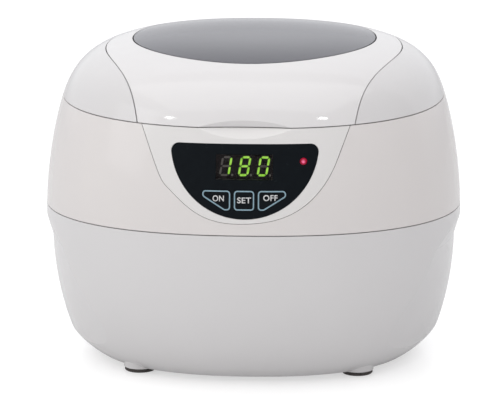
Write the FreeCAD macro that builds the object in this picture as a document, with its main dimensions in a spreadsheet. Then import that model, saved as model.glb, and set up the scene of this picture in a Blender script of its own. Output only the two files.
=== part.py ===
import FreeCAD, Part
import bisect
import itertools
import math
import os
import re
import Sketcher

# Tabletop ultrasonic cleaner. X to the right, Y to the back, Z up, millimetres.
# The origin is in the middle of the footprint, on the surface that the feet stand on.

V = FreeCAD.Vector

SIZES = {
    # Outer form: a superellipse in plan whose half width follows a curve in height.
    "half_width": 108.5,
    "half_depth": 97.6,
    "plan_power": 2.305,
    "belt_height": 73.7,
    "belly_drop": 83.46,
    "belly_power": 3.152,
    "belly_round": 3.602,
    "side_lean": 0.00232,
    "crown_start": 100,
    "crown_top": 166.5,
    "crown_power": 8,
    "crown_round": 3.15,
    "crown_flat": 1.5,
    "section_step": 8,
    "sole_height": 2.5,
    # The upper half tips forward by this many degrees, blended in above the belt.
    "lid_tilt": 3.32,
    "tilt_run": 50,
    # Shells and the gaps between them.
    "wall": 2.5,
    "seam_gap": 0.5,
    "part_gap": 0.3,
    "base_seam": 80,
    "lid_seam": 136.8,
    "tongue_height": 4.5,
    "tongue_wall": 1.6,
    # Side grips: an elliptical tub that the base form is trimmed to, narrow at the foot, upright
    # at the lip and flared out above it to free the belt.
    "grip_foot_depth": 5,
    "grip_foot_x": 88.7,
    "grip_foot_y": 79,
    "grip_low_x": 99.3,
    "grip_low_y": 99.3,
    "grip_low_height": 20,
    "grip_waist_x": 104,
    "grip_waist_y": 112,
    "grip_waist_height": 42,
    "grip_lip_x": 105.6,
    "grip_lip_y": 124,
    "grip_lip_height": 64,
    "grip_flare_x": 109.5,
    "grip_flare_y": 125,
    "grip_flare_height": 77,
    # Deck inside the body, and the tank that hangs in it.
    "deck_top": 126,
    "deck_thick": 2.5,
    "tank_length": 144,
    "tank_width": 92,
    "tank_depth": 60,
    "tank_sheet": 1,
    "tank_corner": 26,
    "tank_bottom_round": 10,
    "flange_width": 8,
    "gasket_thick": 1,
    "deck_gap": 1,
    # Basket.
    "basket_inset": 4,
    "basket_depth": 40,
    "basket_wall": 1.6,
    "basket_rim": 7,
    "basket_bottom_round": 8,
    "slot_width": 3,
    "slot_pitch": 8,
    "slot_count": 11,
    "side_slot_drop": 9,
    # Posts, feet and housing screws.
    "post_x": 55.5,
    "post_y": 55.5,
    "post_round": 5,
    "foot_round": 7.9,
    "foot_boss_round": 8.3,
    "foot_boss_height": 10,
    "foot_thick": 2,
    "foot_chamfer": 0.4,
    "spigot_round": 3.1,
    "spigot_length": 3,
    "well_round": 3.4,
    "well_top": 50,
    "screw_round": 1.5,
    "screw_head_round": 2.9,
    "screw_head_thick": 2.4,
    "screw_length": 26,
    "screw_play": 0.2,
    "post_joint": 61.8,
    # Cooling slots in the bottom, beside the power board.
    "vent_start": 38,
    "vent_pitch": 6,
    "vent_width": 2.2,
    "vent_length": 36,
    "vent_count": 7,
    # Bezel: a shield below the lid seam.
    "bezel_top_x": 51,
    "bezel_top_drop": 4.6,
    "bezel_run": 12,
    "bezel_side_x": 45,
    "bezel_side_z": 116.5,
    "bezel_knee_x": 37,
    "bezel_knee_z": 102.2,
    "bezel_low_x": 24.2,
    "bezel_low_z": 91.4,
    "bezel_bottom": 86,
    "bezel_gap": 0.25,
    # Control film on the bezel.
    "film_round": 36.1,
    "film_top": 124.3,
    "film_corner": 4,
    "film_thick": 0.8,
    "film_sink": 0.15,
    # Display.
    "display_x": 13.8,
    "display_z": 113.3,
    "display_half_height": 6,
    "display_front": 90.2,
    "display_block_x": 14.2,
    "display_block_half_height": 7,
    "digit_height": 9.9,
    "digit_width": 5.2,
    "digit_pitch": 9.2,
    "digit_slant": 10,
    "stroke": 1.05,
    "stroke_gap": 0.3,
    "tile_thick": 0.25,
    "point_round": 0.55,
    "point_gap": 0.5,
    "lamp_x": 28.6,
    "lamp_z": 116,
    "lamp_round": 1.5,
    "lamp_tip": 91.7,
    # Keys and switches.
    "key_z": 97.3,
    "key_half_height": 4.9,
    "key_inner_x": 6.6,
    "key_outer_x": 20.5,
    "key_corner": 1.8,
    "key_nose": 3,
    "set_half_width": 5.05,
    "key_gap": 0.25,
    "key_back": 91.6,
    "key_flange": 0.5,
    "key_flange_thick": 1.2,
    "key_travel": 0.5,
    "switch_pitch": 12.6,
    "switch_size": 6,
    "switch_thick": 3.5,
    "plunger_round": 1.7,
    "plunger_play": 0.06,
    "plunger_sink": 1.5,
    # Control board.
    "board_thick": 1.6,
    "board_front": 84.6,
    "board_half_width": 31,
    "board_bottom": 88.5,
    "board_top": 121.5,
    "board_screw_x": 20,
    "board_screw_top": 118.5,
    "board_screw_low_x": 15,
    "board_screw_low": 90.8,
    "small_screw_round": 1,
    "small_head_round": 2,
    "small_head_thick": 1.4,
    "small_screw_length": 7,
    "small_boss_round": 2.6,
    # Finger notch, cut by two shallow cones from the front.
    "notch_round": 172,
    "notch_depth": 3,
    "notch_rise": 4.1,
    "notch_rise_set": 1.9,
    "notch_fall": 5.7,
    "notch_fall_set": 5.1,
    "notch_pad_x": 30,
    "notch_pad": 3,
    "notch_pad_rise": 6,
    "bezel_pad_height": 8,
    # Lid.
    "saddle_middle_x": 77,
    "saddle_quarter_x": 74.4,
    "saddle_quarter_y": 22,
    "saddle_shoulder_x": 62.3,
    "saddle_shoulder_y": 57.1,
    "saddle_end_x": 51.5,
    "saddle_end_y": 84,
    "groove": 0.5,
    "window_x": 63.1,
    "window_y": 64.7,
    "window_back": 5,
    "window_thick": 2,
    "window_zone": 15,
    "window_gap": 0.7,
    "seal_fit": 0.1,
    "seal_drop": 0.25,
    "ledge_width": 4,
    "ledge_thick": 2,
    "window_gasket_thick": 0.5,
    "liner_thick": 2,
    "liner_gap": 0.2,
    "liner_open_x": 59,
    "liner_open_y": 53,
    "lid_boss_round": 3.5,
    "lid_boss_x": 84,
    "lid_boss_y": 20,
    "lid_boss_front_x": 38,
    "lid_boss_front_y": 70,
    "lid_screw_length": 9,
    # Hinge.
    "hinge_y": 92.6,
    "hinge_round": 3.2,
    "knuckle_x": 16,
    "ear_x": 24.4,
    "hinge_side_gap": 0.4,
    "hinge_lift": 0.4,
    "hinge_web_y": 86.4,
    "pin_round": 1.5,
    "pin_play": 0.05,
    # Transducer.
    "horn_top_round": 24,
    "horn_low_round": 16,
    "horn_length": 24,
    "electrode_thick": 0.4,
    "electrode_round": 15.5,
    "electrode_tab": 6,
    "electrode_tab_width": 4,
    "ring_round": 15,
    "ring_hole": 5,
    "ring_thick": 5,
    "back_mass_round": 15.5,
    "back_mass_length": 14,
    "bolt_round": 4,
    "bolt_play": 0.1,
    "bolt_reach": 16,
    "bolt_head_round": 6.5,
    "bolt_head_length": 5,
    # Power board in the base.
    "power_x": -55,
    "power_half_x": 23,
    "power_half_y": 34,
    "power_bottom": 12,
    "power_screw_x": 19.5,
    "power_screw_y": 30.5,
    "standoff_round": 3,
    "core_x": 28,
    "core_y": 24,
    "core_height": 24,
    "core_limb": 6,
    "core_yoke": 5,
    "coil_overhang": 4,
    "transformer_at_x": -63,
    "transformer_at_y": 14,
    "choke_ring": 5.5,
    "choke_wire": 2.6,
    "choke_at_x": -42,
    "choke_at_y": -5,
    "capacitor_round": 6,
    "capacitor_height": 22,
    "capacitor_bevel": 0.8,
    "capacitor_at_x": -41,
    "capacitor_at_y": 20,
    "fuse_round": 2.6,
    "fuse_length": 20,
    "fuse_at_x": -68,
    "fuse_at_y": -8,
    "sink_length": 33,
    "sink_base": 3,
    "sink_fin_depth": 9,
    "sink_fin_thick": 1.4,
    "sink_fins": 7,
    "sink_height": 26,
    "sink_at_x": -71.5,
    "sink_at_y": -26,
    "transistor_width": 10,
    "transistor_thick": 4.4,
    "transistor_height": 15,
    "transistor_lift": 3,
    "transistor_pitch": 14,
    "transistor_start": 5,
    "leg_start": 2,
    "leg_pitch": 2.54,
    "leg_width": 0.8,
    "leg_thick": 0.6,
    # Mains inlet.
    "inlet_z": 38,
    "inlet_half_x": 12,
    "inlet_half_z": 8,
    "inlet_front": 94.2,
    "inlet_back": 71,
    "socket_half_x": 8.25,
    "socket_half_z": 5.2,
    "socket_depth": 15,
    "inlet_pin_round": 1.2,
    "inlet_pin_x": 4.3,
    "inlet_pin_front": 90,
    "inlet_tail": 5,
    "collar": 1.6,
    "collar_start": 6,
    # Leads: they leave the inlet straight, bend in a fan and land on the power board.
    "lead_round": 0.9,
    "lead_straight": 9,
    "lead_landing_x": 18.9,
    "lead_landing_y": 11.8,
    "lead_spacing": 1.9,
    "lead_rise": 12,
    # How far cutting pieces run past what they cut, and the space around the whole product.
    "past": 10,
    "beyond": 150,
}

# Inner points of the left lead's route: x, y, z and how far the right lead's point is moved in x.
LEAD_BENDS = [(-17, 42, 36, 8), (-26, 25, 32, 2)]

# Angles in degrees, at the back, where the ovals of the form and of a plan cutter are joined.
OVAL_JOIN = 112.5
CUTTER_JOIN = 78.75

doc = FreeCAD.newDocument("ultrasonic_cleaner")
sheet = doc.addObject("Spreadsheet::Sheet", "dim")
for row, (name, amount) in enumerate(SIZES.items(), start=1):
    sheet.set(f"A{row}", name)
    sheet.set(f"B{row}", str(amount))
    sheet.setAlias(f"B{row}", name)
doc.recompute()


def size(name):
    return float(sheet.get(name))


def bound(text):
    # Turns "wall + part_gap" into an expression that reads the sheet's cells.
    return re.sub(r"[a-z_]+", lambda word: "dim." + word[0] if word[0] in SIZES else word[0], text)


def place(piece, at):
    for axis, text in zip("xyz", at):
        if text != "0":
            piece.setExpression("Placement.Base." + axis, bound(text))


def add(kind, label, at=("0", "0", "0"), **sizes):
    piece = doc.addObject(kind, label)
    for name, text in sizes.items():
        piece.setExpression(name, bound(text))
    place(piece, at)
    return piece


def block(label, low, span):
    # A box from its low corner and its three lengths.
    return add("Part::Box", label, low, Length=span[0], Width=span[1], Height=span[2])


def rod(label, radius, length, at, along="z"):
    turn = {"x": (V(0, 1, 0), 90), "y": (V(1, 0, 0), -90), "z": (V(0, 0, 1), 0)}
    piece = doc.addObject("Part::Cylinder", label)
    piece.Placement = FreeCAD.Placement(V(), FreeCAD.Rotation(*turn[along]))
    piece.setExpression("Radius", bound(radius))
    piece.setExpression("Height", bound(length))
    place(piece, at)
    return piece


def cut(label, base, *tools):
    for number, tool in enumerate(tools):
        step = doc.addObject("Part::Cut", f"{label}_less_{number}")
        step.Base = base
        step.Tool = tool
        base = step
    base.Label = label
    return base


def worked_out(piece):
    doc.recompute([piece])
    return piece.Shape


def carve(label, base, *tools):
    # As cut, but plain: a freely curved shell keeps its faces as they are instead of refining them.
    shape = worked_out(base)
    for tool in tools:
        shape = shape.cut(worked_out(tool))
    return fixed(label, shape)


def weld(label, *pieces):
    # As fuse, but plain and one piece after another.
    shape = worked_out(pieces[0])
    for piece in pieces[1:]:
        shape = shape.fuse(worked_out(piece))
    return fixed(label, shape)


def fuse(label, *pieces):
    joined = doc.addObject("Part::MultiFuse", label)
    joined.Shapes = list(pieces)
    return joined


def common(label, *pieces):
    shared = doc.addObject("Part::MultiCommon", label)
    shared.Shapes = list(pieces)
    return shared


def fixed(label, shape):
    piece = doc.addObject("Part::Feature", label)
    piece.Shape = shape
    return piece


def group(label, *pieces):
    bunch = doc.addObject("Part::Compound", label)
    bunch.Links = list(pieces)
    return bunch


def plane_of(body, role):
    return next(item for item in body.Origin.OriginFeatures if item.Role == role)


def closed_sketch(body, plane, corners):
    # A closed outline of straight edges; each corner is tied to the sheet by its own two lengths.
    sketch = body.newObject("Sketcher::SketchObject", body.Label + "_outline")
    sketch.AttachmentSupport = [(plane_of(body, plane), "")]
    sketch.MapMode = "FlatFace"
    count = len(corners)
    start = [V(20 + 9 * math.cos(6.2832 * k / count), 20 + 9 * math.sin(6.2832 * k / count), 0)
             for k in range(count)]
    for k in range(count):
        sketch.addGeometry(Part.LineSegment(start[k], start[(k + 1) % count]), False)
    for k in range(count):
        sketch.addConstraint(Sketcher.Constraint("Coincident", k, 2, (k + 1) % count, 1))
    for k, corner in enumerate(corners):
        for kind, text in zip(("DistanceX", "DistanceY"), corner):
            index = sketch.addConstraint(Sketcher.Constraint(kind, -1, 1, k, 1, 20))
            sketch.setExpression(f"Constraints[{index}]", bound(text))
    return sketch


def turned(label, corners, at=("0", "0", "0")):
    # A turned piece: its half section (radius, height) goes once round the upright axis.
    body = doc.addObject("PartDesign::Body", label)
    sketch = closed_sketch(body, "XZ_Plane", corners)
    turn = body.newObject("PartDesign::Revolution", label + "_turn")
    turn.Profile = sketch
    turn.ReferenceAxis = (sketch, ["V_Axis"])
    turn.Angle = 360
    place(body, at)
    return body


# ---------------------------------------------------------------- outer form

def half_width_at(height, inset):
    belt = size("belt_height")
    widest = size("half_width") - inset
    if height < belt:
        drop = (belt - height) / (size("belly_drop") - inset)
        return widest * (1 - drop ** size("belly_power")) ** (1 / size("belly_round"))
    lean = size("side_lean") * (height - belt) ** 2
    rise = (height - size("crown_start")) / (size("crown_top") - inset - size("crown_start"))
    crown = 1 - max(rise, 0) ** size("crown_power")
    return (widest - lean) * crown ** (1 / size("crown_round"))


def tilt_at(height):
    share = min(max((height - size("belt_height")) / size("tilt_run"), 0), 1)
    return math.tan(math.radians(size("lid_tilt"))) * share * share * (3 - 2 * share)


def oval_point(half_x, half_y, angle, power):
    c, s = math.cos(angle), math.sin(angle)
    reach = (abs(c) ** power + abs(s) ** power) ** (-1 / power)
    return V(half_x * c * reach, half_y * s * reach, 0)


def oval_wire(half_x, half_y, height, slope=0.0, power=size("plan_power"), join=OVAL_JOIN, points=32):
    first = math.radians(join)
    spots = [oval_point(half_x, half_y, first + 2 * math.pi * k / points, power) for k in range(points)]
    spots = [V(spot.x, spot.y, height + slope * spot.y) for spot in spots]
    curve = Part.BSplineCurve()
    curve.interpolate(Points=spots, PeriodicFlag=True)
    return Part.Wire(curve.toShape())


def section(height, inset):
    half_x = half_width_at(height, inset)
    half_y = half_x * (size("half_depth") - inset) / (size("half_width") - inset)
    return oval_wire(half_x, half_y, height, tilt_at(height))


def heights(low, high, inset):
    # Levels that are even steps apart along the side of the form, so that they crowd where it turns in.
    belt = size("belt_height")
    down = size("belly_drop") - inset
    up = size("crown_top") - inset - belt

    def angle(level):
        return math.asin((level - belt) / (up if level > belt else down))

    first, last = angle(low), angle(high)
    fine = 3000
    turns = [first + (last - first) * k / fine for k in range(fine + 1)]
    levels = [belt + (up if turn > 0 else down) * math.sin(turn) for turn in turns]
    profile = [(half_width_at(level, inset), level) for level in levels]
    run = [0, *itertools.accumulate(math.dist(here, there) for here, there in zip(profile, profile[1:]))]
    steps = max(3, round(run[-1] / size("section_step")))
    inner = [levels[bisect.bisect(run, run[-1] * k / steps)] for k in range(1, steps)]
    return [low, *inner, high]


def crown_level(inset):
    # The level where the crown has closed in to its small flat.
    start = size("crown_start")
    top = size("crown_top") - inset
    widest = size("half_width") - inset - size("side_lean") * (top - size("belt_height")) ** 2
    closed = 1 - (size("crown_flat") / widest) ** size("crown_round")
    return start + (top - start) * closed ** (1 / size("crown_power"))


def form(label, inset, low=None, high=None):
    # The product's outer form, drawn in by an inset, between two levels.
    low = size("sole_height") + inset if low is None else low
    high = crown_level(inset) if high is None else high
    levels = heights(low, high, inset)
    return fixed(label, Part.makeLoft([section(level, inset) for level in levels], True, False))


def grip_form(label, inset):
    foot = (-size("grip_foot_depth"), "grip_foot_x", "grip_foot_y")
    low = (size("grip_low_height"), "grip_low_x", "grip_low_y")
    waist = (size("grip_waist_height"), "grip_waist_x", "grip_waist_y")
    lip = (size("grip_lip_height"), "grip_lip_x", "grip_lip_y")
    flare = (size("grip_flare_height"), "grip_flare_x", "grip_flare_y")
    top = (size("base_seam") + size("past"), "grip_flare_x", "grip_flare_y")

    def ring(level, across, along):
        return oval_wire(size(across) - inset, size(along) - inset, level, power=2)

    hollow = Part.makeLoft([ring(*spot) for spot in (foot, low, waist, lip)], True, False)
    collar = Part.makeLoft([ring(*spot) for spot in (lip, flare, top)], True, True)
    return fixed(label, hollow.fuse(collar))


def prism_along_y(label, wire, near, far):
    # A closed outline in the X-Z plane, run from y = -near back to y = -far.
    face = Part.Face(wire)
    face.translate(V(0, -near, 0))
    return fixed(label, face.extrude(V(0, near - far, 0)))


def plan_prism(label, half_x, half_y, low, high):
    outline = oval_wire(half_x, half_y, low, join=CUTTER_JOIN)
    return fixed(label, Part.Face(outline).extrude(V(0, 0, high - low)))


def above_lid_seam(label, lift):
    # Everything above the tilted lid seam, raised by an expression.
    slab = block(label, ("-beyond", "0", "0"), ("2 * beyond", "2 * beyond", "beyond"))
    slab.Placement = FreeCAD.Placement(V(), FreeCAD.Rotation(V(1, 0, 0), 1))
    slab.setExpression("Placement.Rotation.Angle", bound("lid_tilt"))
    place(slab, ("-beyond", "-beyond * cos(lid_tilt * 1deg)",
                 f"lid_seam + {lift} - beyond * sin(lid_tilt * 1deg)"))
    return slab


wall = size("wall")
outer_form = form("outer_form", 0)
inner_form = form("inner_form", wall)
middle_form = form("middle_form", wall / 2)
housing_wall = cut("housing_wall", outer_form, inner_form)
lid_zone = above_lid_seam("lid_zone", "seam_gap / 2")
above_body = above_lid_seam("above_body", "-seam_gap / 2")
below_body = block("below_body", ("-beyond", "-beyond", "-beyond"),
                   ("2 * beyond", "2 * beyond", "beyond + base_seam + seam_gap / 2"))
base_zone = block("base_zone", ("-beyond", "-beyond", "-beyond"),
                  ("2 * beyond", "2 * beyond", "beyond + base_seam - seam_gap / 2"))

corners_of_four = [("left_front", "-", "-"), ("right_front", "", "-"),
                   ("right_back", "", ""), ("left_back", "-", "")]

# ---------------------------------------------------------------- base shell

grip_outer = grip_form("grip_outer", 0)
grip_inner = grip_form("grip_inner", wall)
base_outer = common("base_outer", outer_form, grip_outer, base_zone)
base_inner = common("base_inner", inner_form, grip_inner)

tongue_low = form("tongue_low", wall - size("part_gap"), size("base_seam") - size("tongue_height"),
                  size("base_seam") - size("seam_gap") / 2)
tongue_high = form("tongue_high", wall + size("part_gap") / 2, size("base_seam") - 2,
                   size("base_seam") + size("tongue_height"))
tongue_hole = form("tongue_hole", wall + size("tongue_wall"), size("base_seam") - size("past"),
                   size("base_seam") + size("past"))
tongue_solid = fuse("tongue_solid", tongue_low, tongue_high)
tongue = cut("tongue", common("tongue_trimmed", tongue_solid, grip_inner), tongue_hole)

posts = []
foot_bosses = []
wells = []
pilots = []
for corner, sx, sy in corners_of_four:
    at = (sx + "post_x", sy + "post_y")
    posts.append(rod("post_" + corner, "post_round", "post_joint - foot_thick", (*at, "foot_thick")))
    foot_bosses.append(rod("boss_" + corner, "foot_boss_round", "foot_boss_height", (*at, "foot_thick")))
    wells.append(rod("well_" + corner, "well_round", "well_top - foot_thick + 1",
                     (*at, "foot_thick - 1")))
    pilots.append(rod("pilot_" + corner, "screw_round + screw_play", "post_joint - well_top + 4",
                      (*at, "well_top - 2")))

standoffs = []
standoff_holes = []
for number, (sx, sy) in enumerate([("-", "-"), ("+", "-"), ("+", "+"), ("-", "+")]):
    at = (f"power_x {sx} power_screw_x", f"0 {sy} power_screw_y")
    standoffs.append(rod(f"standoff_{number}", "standoff_round",
                         "power_bottom - sole_height - wall / 2", (*at, "sole_height + wall / 2")))
    standoff_holes.append(rod(f"standoff_hole_{number}", "small_screw_round",
                              "power_bottom - sole_height - wall", (*at, "sole_height + wall + 0.5")))

inlet_hole = block("inlet_hole", ("-inlet_half_x - part_gap / 2", "inlet_back",
                                  "inlet_z - inlet_half_z - part_gap / 2"),
                   ("2 * inlet_half_x + part_gap", "beyond - inlet_back", "2 * inlet_half_z + part_gap"))
collar_block = block("collar_block", ("-inlet_half_x - collar", "inlet_back + collar_start",
                                      "inlet_z - inlet_half_z - collar"),
                     ("2 * inlet_half_x + 2 * collar", "inlet_front - inlet_back",
                      "2 * inlet_half_z + 2 * collar"))
collar_piece = common("collar_piece", collar_block, base_outer)

vents = []
for k in range(int(size("vent_count"))):
    vents.append(block(f"vent_{k}", (f"vent_start + {k} * vent_pitch", "-vent_length / 2", "0"),
                       ("vent_width", "vent_length", "sole_height + wall + 1")))

base_raw = weld("base_raw", cut("base_wall", base_outer, base_inner), tongue, collar_piece,
                *foot_bosses, *posts, *standoffs)
base_shell = carve("base_shell", base_raw, group("post_wells", *wells), group("post_pilots", *pilots),
                   group("board_pilots_low", *standoff_holes), inlet_hole, group("vent_slots", *vents))

# ---------------------------------------------------------------- bezel outline

def spread(points, grow):
    # Moves the inner points of an outline outwards, square to the chord between their neighbours.
    moved = []
    for before, spot, after in zip(points, points[1:], points[2:]):
        along = (after - before).normalize()
        moved.append(spot + V(-along.z, 0, along.x) * grow)
    return moved


def shield_wire(grow):
    # Straight sides from above the lid seam, then one curve down and round the bottom.
    top = V(size("bezel_top_x"), 0, size("lid_seam") - size("bezel_top_drop"))
    side = V(size("bezel_side_x"), 0, size("bezel_side_z"))
    lean = (side - top).normalize()
    start = top - lean * size("bezel_run")
    right = [side, V(size("bezel_knee_x"), 0, size("bezel_knee_z")),
             V(size("bezel_low_x"), 0, size("bezel_low_z"))]
    half = [start - lean, start, *right, V(0, 0, size("bezel_bottom"))]
    whole = half + [V(-spot.x, 0, spot.z) for spot in reversed(half[:-1])]
    first, *bend, last = spread(whole, grow)
    curve = Part.BSplineCurve()
    curve.interpolate(Points=bend, InitialTangent=lean, FinalTangent=V(lean.x, 0, -lean.z))
    edges = [Part.LineSegment(first, bend[0]).toShape(), curve.toShape(),
             Part.LineSegment(bend[-1], last).toShape(), Part.LineSegment(last, first).toShape()]
    return Part.Wire(edges)


def film_wire(grow):
    # A half disc with a flat top and two rounded top corners.
    reach = size("film_round") + grow
    top = size("film_top") + grow
    corner = size("film_corner")
    middle = size("film_top")
    drop = top - corner - middle
    corner_x = math.sqrt((reach - corner) ** 2 - drop ** 2)
    touch = V(corner_x, 0, drop).normalize() * reach
    shift = V(0, 0, middle)
    right = touch + shift
    left = V(-right.x, 0, right.z)
    knee = V(corner_x, 0, top - corner) + V(math.sin(0.8), 0, math.cos(0.8)) * corner
    edges = [Part.Arc(V(corner_x, 0, top), knee, right).toShape(),
             Part.Arc(right, shift + V(0, 0, -reach), left).toShape(),
             Part.Arc(left, V(-knee.x, 0, knee.z), V(-corner_x, 0, top)).toShape(),
             Part.LineSegment(V(-corner_x, 0, top), V(corner_x, 0, top)).toShape()]
    return Part.Wire(edges)


far_front = size("beyond")
front_cover = size("board_front") - size("past")
bezel_space_prism = prism_along_y("bezel_space_prism", shield_wire(size("bezel_gap")), far_front, front_cover)
bezel_prism = prism_along_y("bezel_prism", shield_wire(0), far_front, front_cover)
bezel_clear_form = form("bezel_clear_form", wall + size("part_gap"), size("base_seam"),
                        size("crown_top") - size("past"))
bezel_space = cut("bezel_space", bezel_space_prism, bezel_clear_form)

# ---------------------------------------------------------------- upper shell

deck_slab = block("deck_slab", ("-beyond", "-beyond", "deck_top - deck_thick"),
                  ("2 * beyond", "2 * beyond", "deck_thick"))
deck = common("deck", middle_form, deck_slab)
body_wall = cut("body_wall", housing_wall, above_body, below_body)


def rounded_block(label, half_x, half_y, low, high, corner, bottom=0.0):
    slab = Part.makeBox(2 * half_x, 2 * half_y, high - low, V(-half_x, -half_y, low))
    upright = [edge for edge in slab.Edges if abs(edge.tangentAt(edge.FirstParameter).z) > 0.9]
    slab = slab.makeFillet(corner, upright)
    if bottom:
        lower = [edge for edge in slab.Edges if edge.BoundBox.ZMax < low + 0.01]
        slab = slab.makeFillet(bottom, lower)
    return fixed(label, slab)


sheet_metal = size("tank_sheet")
tank_x = size("tank_length") / 2
tank_y = size("tank_width") / 2
corner = size("tank_corner")
deck_hole_room = sheet_metal + size("deck_gap")
deck_hole = rounded_block("deck_hole", tank_x + deck_hole_room, tank_y + deck_hole_room,
                          size("deck_top") - size("past"), size("deck_top") + size("past"),
                          corner + deck_hole_room)

upper_posts = []
upper_pilots = []
for name, sx, sy in corners_of_four:
    at = (sx + "post_x", sy + "post_y")
    upper_posts.append(rod("upper_post_" + name, "post_round - 0.5",
                           "deck_top - 1 - post_joint - part_gap / 2", (*at, "post_joint + part_gap / 2")))
    upper_pilots.append(rod("upper_pilot_" + name, "screw_round", "screw_length",
                            (*at, "post_joint - 1")))

hinge_level = "lid_seam + hinge_y * tan(lid_tilt * 1deg)"
ears = []
for name, start in (("left", "-ear_x"), ("right", "knuckle_x + hinge_side_gap")):
    width = "ear_x - knuckle_x - hinge_side_gap"
    ears.append(rod("ear_eye_" + name, "hinge_round", width, (start, "hinge_y", hinge_level), "x"))
    ears.append(block("ear_web_" + name, (start, "hinge_web_y", hinge_level + " - hinge_round"),
                      (width, "hinge_y - hinge_web_y", "hinge_round - hinge_lift")))
ear_hole = rod("ear_hole", "pin_round", "2 * ear_x", ("-ear_x", "hinge_y", hinge_level), "x")

upper_raw = fuse("upper_raw", body_wall, cut("deck_plate", deck, deck_hole), *upper_posts, *ears)
upper_shell = cut("upper_shell", upper_raw, group("upper_pilots", *upper_pilots), ear_hole, bezel_space)

# ---------------------------------------------------------------- bezel

seam_front_y = half_width_at(size("lid_seam"), 0) * size("half_depth") / size("half_width")
seam_front_z = size("lid_seam") - seam_front_y * math.tan(math.radians(size("lid_tilt")))
notch_axis = V(0, -(seam_front_y - size("notch_depth") + size("notch_round")), 0)
notch_low = Part.makeCone(size("notch_round") - size("notch_fall_set"), size("notch_round"),
                          size("notch_fall"), notch_axis + V(0, 0, seam_front_z - size("notch_fall")))
notch_high = Part.makeCone(size("notch_round"), size("notch_round") - size("notch_rise_set"),
                           size("notch_rise"), notch_axis + V(0, 0, seam_front_z))
finger_notch = fixed("finger_notch", notch_low.fuse(notch_high))
bezel_pad_block = fixed("bezel_pad_block", Part.makeBox(
    2 * size("notch_pad_x"), size("notch_pad") + wall, size("bezel_pad_height"),
    V(-size("notch_pad_x"), -seam_front_y + wall / 2, size("deck_top") + size("part_gap"))))
bezel_pad = common("bezel_pad", cut("bezel_pad_low", bezel_pad_block, above_body), inner_form)

film_outer = form("film_outer", size("film_sink"), size("base_seam"), size("lid_seam") + size("past"))
film_inner = form("film_inner", size("film_thick"), size("base_seam"), size("lid_seam") + size("past"))
film_pocket = cut("film_pocket", prism_along_y("film_room", film_wire(size("key_gap") / 2), far_front,
                                               front_cover), film_inner)
film_prism = prism_along_y("film_prism", film_wire(0), far_front, front_cover)


def window_cutter(label, grow):
    return block(label, (f"-display_x - {grow}", "-beyond", f"display_z - display_half_height - {grow}"),
                 (f"2 * display_x + 2 * {grow}", "beyond - board_front",
                  f"2 * display_half_height + 2 * {grow}"))


def key_face(side, grow):
    # One key's rounded outline: side -1 is ON, 0 is SET and 1 is OFF.
    low = size("key_z") - size("key_half_height")
    high = size("key_z") + size("key_half_height")
    if side == 0:
        half = size("set_half_width")
        spots = [V(-half, 0, low), V(half, 0, low), V(half, 0, high), V(-half, 0, high)]
    else:
        inner = size("key_inner_x")
        outer = size("key_outer_x")
        nose = size("key_nose")
        spots = [V(inner, 0, low), V(inner + nose, 0, low), V(outer, 0, high - nose), V(outer, 0, high),
                 V(inner, 0, high)]
        spots = [V(side * spot.x, 0, spot.z) for spot in spots]
    sharp = Part.Face(Part.makePolygon([*spots, spots[0]])).extrude(V(0, 1, 0))
    along = [edge for edge in sharp.Edges if abs(edge.tangentAt(edge.FirstParameter).y) > 0.9]
    rounded = sharp.makeFillet(size("key_corner"), along)
    front = next(face for face in rounded.Faces if face.BoundBox.YMax < 0.001)
    return front.makeOffset2D(grow) if grow else front


def key_block(label, side, grow, near, far):
    face = key_face(side, grow)
    face.translate(V(0, -near, 0))
    return fixed(label, face.extrude(V(0, near - far, 0)))


keys = (("on_key", -1), ("set_key", 0), ("off_key", 1))
key_rooms = [key_block(name + "_room", side, size("key_gap"), far_front, front_cover) for name, side in keys]
key_room = group("key_rooms", *key_rooms)
flange_rooms = [key_block(name + "_flange_room", side, size("key_flange") + size("key_gap"),
                          size("key_back") + size("key_flange_thick") + size("part_gap") / 2, front_cover)
                for name, side in keys]
lamp_hole = rod("lamp_hole", "lamp_round + key_gap", "beyond - board_front",
                ("lamp_x", "-beyond", "lamp_z"), "y")
display_room = window_cutter("display_room", "key_gap")
block_room = block("block_room", ("-display_block_x - key_gap", "-display_front - part_gap",
                                  "display_z - display_block_half_height - key_gap"),
                   ("2 * display_block_x + 2 * key_gap", "2 * past",
                    "2 * display_block_half_height + 2 * key_gap"))

board_spots = [("-board_screw_x", "board_screw_top"), ("board_screw_x", "board_screw_top"),
               ("-board_screw_low_x", "board_screw_low"), ("board_screw_low_x", "board_screw_low")]
board_bosses = []
board_pilots = []
for number, (x, z) in enumerate(board_spots):
    board_bosses.append(rod(f"board_boss_{number}", "small_boss_round", "half_depth - board_front",
                            (x, "-half_depth", z), "y"))
    board_pilots.append(rod(f"board_pilot_{number}", "small_screw_round", "small_screw_length",
                            (x, "-board_front - small_screw_length + board_thick", z), "y"))
bosses_inside = common("bosses_inside", group("board_boss_group", *board_bosses), film_inner)

bezel_wall = cut("bezel_wall", common("bezel_blank", housing_wall, bezel_prism), above_body)
bezel_raw = fuse("bezel_raw", bezel_wall, bezel_pad, bosses_inside)
front_bezel = cut("front_bezel", bezel_raw, film_pocket, finger_notch, key_room,
                  group("flange_rooms", *flange_rooms), lamp_hole, display_room, block_room,
                  group("board_pilots", *board_pilots))

# ---------------------------------------------------------------- control film, window and keys

film_blank = cut("film_blank", common("film_skin", film_outer, film_prism), film_inner)
control_film = cut("control_film", film_blank, key_room, lamp_hole, window_cutter("film_window", "0.1"))
window_skin = common("window_skin", film_outer, window_cutter("window_blank", "0"))
display_window = cut("display_window", window_skin, film_inner)

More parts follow.
